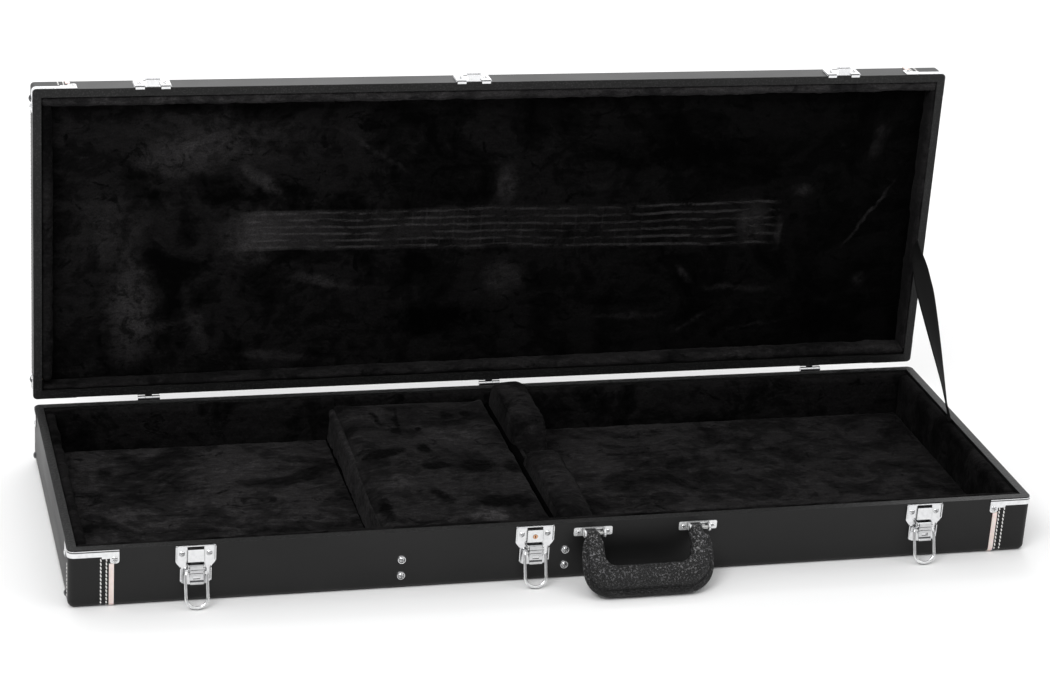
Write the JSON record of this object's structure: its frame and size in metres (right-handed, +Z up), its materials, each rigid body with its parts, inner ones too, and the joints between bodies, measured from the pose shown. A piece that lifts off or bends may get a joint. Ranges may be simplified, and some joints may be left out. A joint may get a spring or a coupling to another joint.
{
  "type": "guitar case",
  "caption": "Open rectangular hard-shell case for an electric guitar, plush lined, with hinged lid, draw latches, carry handle, stay strap and accessory compartment.",
  "frame": {"origin": "centre of the underside of the base", "axes": "+X along the length to the right as seen from the latch side, +Y from the latch side to the hinge side, +Z up; the lid is modelled open at a right angle"},
  "size_m": [1.0594, 0.4558, 0.443],
  "materials": {
    "vinyl": "smooth black vinyl, satin",
    "leatherette": "black pebbled leatherette, satin",
    "piping": "pale cream-pink vinyl piping",
    "plywood": "raw poplar plywood",
    "plush": "deep black plush with brushed patches",
    "chrome": "bright nickel-chrome plate",
    "steel": "plain steel",
    "brass": "copper-coloured key barrel",
    "handle": "moulded grip with coarse leather grain",
    "webbing": "ribbed black webbing",
    "dark_metal": "black-nickel domed studs",
    "foot": "black rubber"
  },
  "bodies": {
    "base": {"base_covering": "vinyl", "base_end_caps": "leatherette", "base_piping": "piping", "base_front_board": "plywood", "base_back_board": "plywood", "base_end_boards": "plywood", "base_bottom_panel": "plywood", "compartment_wall": "plywood", "neck_wall": "plywood", "base_lining_sides": "plush", "base_lining_ends": "plush", "compartment_wall_pad": "plush", "headstock_bay_pad": "plush", "compartment_floor_pad": "plush", "body_bay_pad": "plush", "neck_cradle": "plush", "base_corner_trims": "chrome", "base_corner_screws": "chrome", "latch_plates_outer": "chrome", "latch_plate_middle": "chrome", "latch_screws": "chrome", "handle_brackets": "chrome", "handle_bracket_screws": "chrome", "divider_screws": "chrome", "divider_washers": "chrome", "hinge_base_leaves": "chrome", "hinge_base_screws": "chrome", "latch_pins": "steel", "handle_pins": "steel", "hinge_pins": "steel", "stay_strap": "webbing", "base_end_studs": "dark_metal", "base_spine_feet": "foot"},
    "lid": {"lid_covering": "vinyl", "lid_end_caps": "leatherette", "lid_piping": "piping", "lid_long_boards": "plywood", "lid_end_boards": "plywood", "lid_top_panel": "plywood", "lid_linings": "plush", "lid_panel_pad": "plush", "hinge_lid_leaves": "chrome", "hinge_lid_screws": "chrome", "lid_corner_trims": "chrome", "lid_corner_screws": "chrome", "lid_catches": "chrome", "catch_screws": "chrome", "lid_end_studs": "dark_metal", "lid_spine_feet": "foot"},
    "handle": {"handle_grip": "handle", "handle_core": "steel"},
    "lock": {"lock_barrel": "brass"},
    "compartment_lid": {"compartment_lid_board": "plywood", "compartment_lid_pad": "plush"},
    "lever_left": {"latch_lever_left": "chrome"},
    "bail_left": {"latch_bail_left": "chrome"},
    "lever_middle": {"latch_lever_middle": "chrome"},
    "bail_middle": {"latch_bail_middle": "chrome"},
    "lever_right": {"latch_lever_right": "chrome"},
    "bail_right": {"latch_bail_right": "chrome"}
  },
  "joints": [
    {"name": "lid_hinge", "type": "hinge", "parent": "base", "child": "lid", "pos_m": [0, 0.1866, 0.06575], "axis": [1, 0, 0], "range_deg": [0, 90], "deforming": ["stay_strap"]},
    {"name": "handle_swing", "type": "hinge", "parent": "base", "child": "handle", "pos_m": [0.0793, -0.189, 0.055], "axis": [-1, 0, 0], "range_deg": [-29, 75]},
    {"name": "compartment_lid_hinge", "type": "hinge", "parent": "base", "child": "compartment_lid", "pos_m": [-0.1868, 0, 0.0605], "axis": [0, 1, 0], "range_deg": [-105, 0]},
    {"name": "lock_turn", "type": "hinge", "parent": "base", "child": "lock", "pos_m": [-0.0385, -0.184, 0.0534], "axis": [0, -1, 0], "range_deg": [0, 90]},
    {"name": "lever_left_lift", "type": "hinge", "parent": "base", "child": "lever_left", "pos_m": [-0.3973, -0.188, 0.042], "axis": [1, 0, 0], "range_deg": [-120, 0]},
    {"name": "bail_left_swing", "type": "hinge", "parent": "lever_left", "child": "bail_left", "pos_m": [-0.3973, -0.1885, 0.036], "axis": [-1, 0, 0], "range_deg": [-18, 162.9]},
    {"name": "lever_middle_lift", "type": "hinge", "parent": "base", "child": "lever_middle", "pos_m": [-0.0385, -0.188, 0.042], "axis": [1, 0, 0], "range_deg": [-120, 0]},
    {"name": "bail_middle_swing", "type": "hinge", "parent": "lever_middle", "child": "bail_middle", "pos_m": [-0.0385, -0.1885, 0.036], "axis": [-1, 0, 0], "range_deg": [-18, 162.9]},
    {"name": "lever_right_lift", "type": "hinge", "parent": "base", "child": "lever_right", "pos_m": [0.4012, -0.188, 0.042], "axis": [1, 0, 0], "range_deg": [-120, 0]},
    {"name": "bail_right_swing", "type": "hinge", "parent": "lever_right", "child": "bail_right", "pos_m": [0.4012, -0.1885, 0.036], "axis": [-1, 0, 0], "range_deg": [-18, 162.9]}
  ]
}
